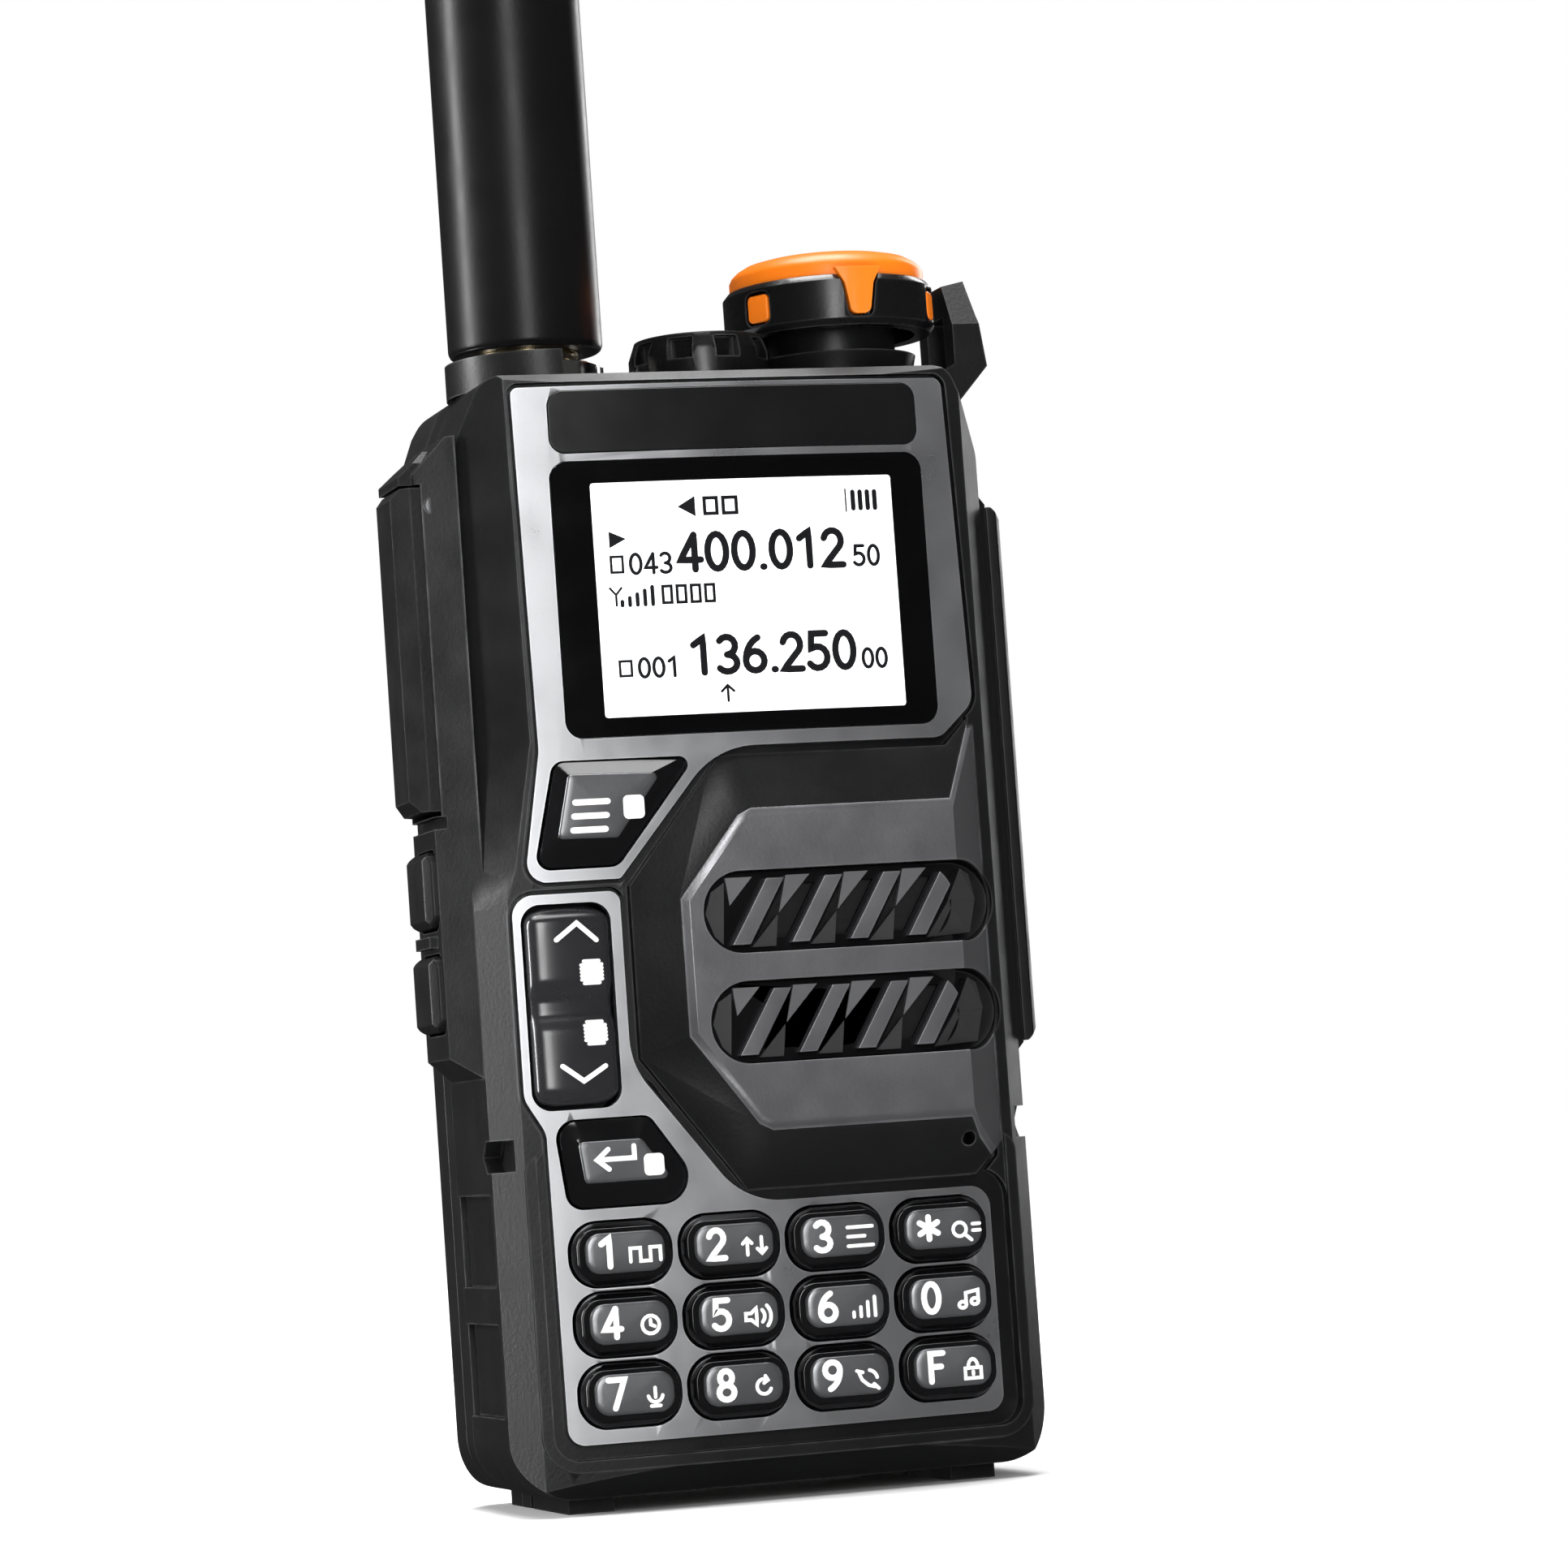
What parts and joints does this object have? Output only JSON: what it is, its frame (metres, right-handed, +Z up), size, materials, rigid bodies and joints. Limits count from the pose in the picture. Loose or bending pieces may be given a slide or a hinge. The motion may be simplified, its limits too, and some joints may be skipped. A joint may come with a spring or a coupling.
{
  "type": "handheld aviation radio",
  "caption": "Handheld airband transceiver with stub antenna, volume knob, display, speaker dome, keypad, talk bar, battery pack and belt clip.",
  "frame": {"origin": "middle of the bounding box, on the floor under the feet", "axes": "+Z up along the antenna, -Y out of the front face with the keys and the display, +X to the right seen from the front"},
  "size_m": [0.0656, 0.0422, 0.2792],
  "materials": {
    "shell_black": "satin",
    "rear_black": "satin",
    "bezel_metal": "satin",
    "gloss_black": "gloss",
    "window": "gloss",
    "lcd_glass": "gloss",
    "key_plastic": "satin",
    "grille_metal": "satin",
    "mesh_steel": "satin",
    "rubber_black": "matte",
    "knob_black": "satin",
    "orange": "satin",
    "nickel": "polished",
    "steel": "satin",
    "brass": "satin",
    "lens": "gloss",
    "board_green": "satin",
    "dark_metal": "satin",
    "white_plastic": "satin",
    "cell_wrap": "gloss",
    "screw_steel": "satin"
  },
  "bodies": {
    "radio": {"front_shell": "shell_black", "rear_frame": "rear_black", "body_screws": "screw_steel", "upper_bezel": "bezel_metal", "lower_bezel": "bezel_metal", "name_plate": "gloss_black", "display_window": "window", "lcd_panel": "lcd_glass", "backlight": "white_plastic", "speaker_grille": "grille_metal", "speaker_mesh": "mesh_steel", "speaker_driver": "dark_metal", "microphone": "steel", "main_board": "board_green", "side_board": "board_green", "key_membrane": "rubber_black", "rocker_pin": "steel", "ptt_pin": "steel", "cover_pin": "steel", "headset_jacks": "dark_metal", "usb_port": "steel", "antenna_socket": "brass", "antenna_nut": "nickel", "torch_ring": "knob_black", "torch_reflector": "nickel", "torch_lens": "lens", "volume_control": "dark_metal", "clip_pin": "steel"},
    "knob": {"knob_skirt": "knob_black", "knob_cap": "orange", "knob_inserts": "orange", "knob_shaft": "brass"},
    "antenna": {"antenna_sleeve": "rubber_black", "antenna_plug": "brass", "antenna_core": "white_plastic"},
    "battery": {"battery_case": "rear_black", "battery_lid": "rear_black", "battery_cells": "cell_wrap", "battery_contacts": "brass"},
    "latch": {"battery_latch": "rear_black"},
    "clip": {"belt_clip": "rear_black"},
    "talk_bar": {"ptt_bar": "rubber_black"},
    "side_key_upper": {"side_key_upper": "rubber_black"},
    "side_key_lower": {"side_key_lower": "rubber_black"},
    "socket_cover": {"socket_cover": "rubber_black"},
    "key_updown": {"key_updown": "key_plastic"},
    "key_menu": {"key_menu": "key_plastic"},
    "key_exit": {"key_exit": "key_plastic"},
    "key_7": {"key_7": "key_plastic"},
    "key_8": {"key_8": "key_plastic"},
    "key_9": {"key_9": "key_plastic"},
    "key_f": {"key_f": "key_plastic"},
    "key_4": {"key_4": "key_plastic"},
    "key_5": {"key_5": "key_plastic"},
    "key_6": {"key_6": "key_plastic"},
    "key_0": {"key_0": "key_plastic"},
    "key_1": {"key_1": "key_plastic"},
    "key_2": {"key_2": "key_plastic"},
    "key_3": {"key_3": "key_plastic"},
    "key_star": {"key_star": "key_plastic"}
  },
  "joints": [
    {"name": "volume_turn", "type": "hinge", "parent": "radio", "child": "knob", "pos_m": [0.01717, -0.005, 0.12015], "axis": [0, 0, -1], "range_deg": [0, 300]},
    {"name": "antenna_turn", "type": "hinge", "parent": "radio", "child": "antenna", "pos_m": [-0.01622, -0.005, 0.1192], "axis": [0, 0, 1], "continuous": true},
    {"name": "battery_slide", "type": "slide", "parent": "radio", "child": "battery", "axis": [0, 0, -1], "range_m": [0, 0.06]},
    {"name": "latch_slide", "type": "slide", "parent": "radio", "child": "latch", "axis": [0, 0, 1], "range_m": [0, 0.0024], "stiffness_N_per_m": 600, "springref_m": -0.001},
    {"name": "clip_hinge", "type": "hinge", "parent": "radio", "child": "clip", "pos_m": [0.00077, 0.0163, 0.1064], "axis": [1, 0, 0], "range_deg": [0, 20], "stiffness_Nm_per_rad": 0.15, "springref_deg": -11.46},
    {"name": "talk_press", "type": "hinge", "parent": "radio", "child": "talk_bar", "pos_m": [-0.02882, -0.005, 0.103], "axis": [0, -1, 0], "range_deg": [0, 2.2], "stiffness_Nm_per_rad": 0.4, "springref_deg": -1.72},
    {"name": "cover_hinge", "type": "hinge", "parent": "radio", "child": "socket_cover", "pos_m": [0.03127, 0.0009, 0.0729], "axis": [0, 0, 1], "range_deg": [0, 100]},
    {"name": "updown_rock", "type": "hinge", "parent": "radio", "child": "key_updown", "pos_m": [-0.01943, -0.0153, 0.051], "axis": [1, 0, 0], "range_deg": [-2.5, 2.5], "stiffness_Nm_per_rad": 0.15},
    {"name": "side_key_upper_press", "type": "slide", "parent": "radio", "child": "side_key_upper", "axis": [1, 0, 0], "range_m": [0, 0.0006], "stiffness_N_per_m": 400, "springref_m": -0.0005},
    {"name": "side_key_lower_press", "type": "slide", "parent": "radio", "child": "side_key_lower", "axis": [1, 0, 0], "range_m": [0, 0.0006], "stiffness_N_per_m": 400, "springref_m": -0.0005},
    {"name": "key_menu_press", "type": "slide", "parent": "radio", "child": "key_menu", "axis": [0, 1, 0], "range_m": [0, 0.0006], "stiffness_N_per_m": 400, "springref_m": -0.0005},
    {"name": "key_exit_press", "type": "slide", "parent": "radio", "child": "key_exit", "axis": [0, 1, 0], "range_m": [0, 0.0006], "stiffness_N_per_m": 400, "springref_m": -0.0005},
    {"name": "key_7_press", "type": "slide", "parent": "radio", "child": "key_7", "axis": [0, 1, 0], "range_m": [0, 0.0006], "stiffness_N_per_m": 400, "springref_m": -0.0005},
    {"name": "key_8_press", "type": "slide", "parent": "radio", "child": "key_8", "axis": [0, 1, 0], "range_m": [0, 0.0006], "stiffness_N_per_m": 400, "springref_m": -0.0005},
    {"name": "key_9_press", "type": "slide", "parent": "radio", "child": "key_9", "axis": [0, 1, 0], "range_m": [0, 0.0006], "stiffness_N_per_m": 400, "springref_m": -0.0005},
    {"name": "key_f_press", "type": "slide", "parent": "radio", "child": "key_f", "axis": [0, 1, 0], "range_m": [0, 0.0006], "stiffness_N_per_m": 400, "springref_m": -0.0005},
    {"name": "key_4_press", "type": "slide", "parent": "radio", "child": "key_4", "axis": [0, 1, 0], "range_m": [0, 0.0006], "stiffness_N_per_m": 400, "springref_m": -0.0005},
    {"name": "key_5_press", "type": "slide", "parent": "radio", "child": "key_5", "axis": [0, 1, 0], "range_m": [0, 0.0006], "stiffness_N_per_m": 400, "springref_m": -0.0005},
    {"name": "key_6_press", "type": "slide", "parent": "radio", "child": "key_6", "axis": [0, 1, 0], "range_m": [0, 0.0006], "stiffness_N_per_m": 400, "springref_m": -0.0005},
    {"name": "key_0_press", "type": "slide", "parent": "radio", "child": "key_0", "axis": [0, 1, 0], "range_m": [0, 0.0006], "stiffness_N_per_m": 400, "springref_m": -0.0005},
    {"name": "key_1_press", "type": "slide", "parent": "radio", "child": "key_1", "axis": [0, 1, 0], "range_m": [0, 0.0006], "stiffness_N_per_m": 400, "springref_m": -0.0005},
    {"name": "key_2_press", "type": "slide", "parent": "radio", "child": "key_2", "axis": [0, 1, 0], "range_m": [0, 0.0006], "stiffness_N_per_m": 400, "springref_m": -0.0005},
    {"name": "key_3_press", "type": "slide", "parent": "radio", "child": "key_3", "axis": [0, 1, 0], "range_m": [0, 0.0006], "stiffness_N_per_m": 400, "springref_m": -0.0005},
    {"name": "key_star_press", "type": "slide", "parent": "radio", "child": "key_star", "axis": [0, 1, 0], "range_m": [0, 0.0006], "stiffness_N_per_m": 400, "springref_m": -0.0005}
  ]
}
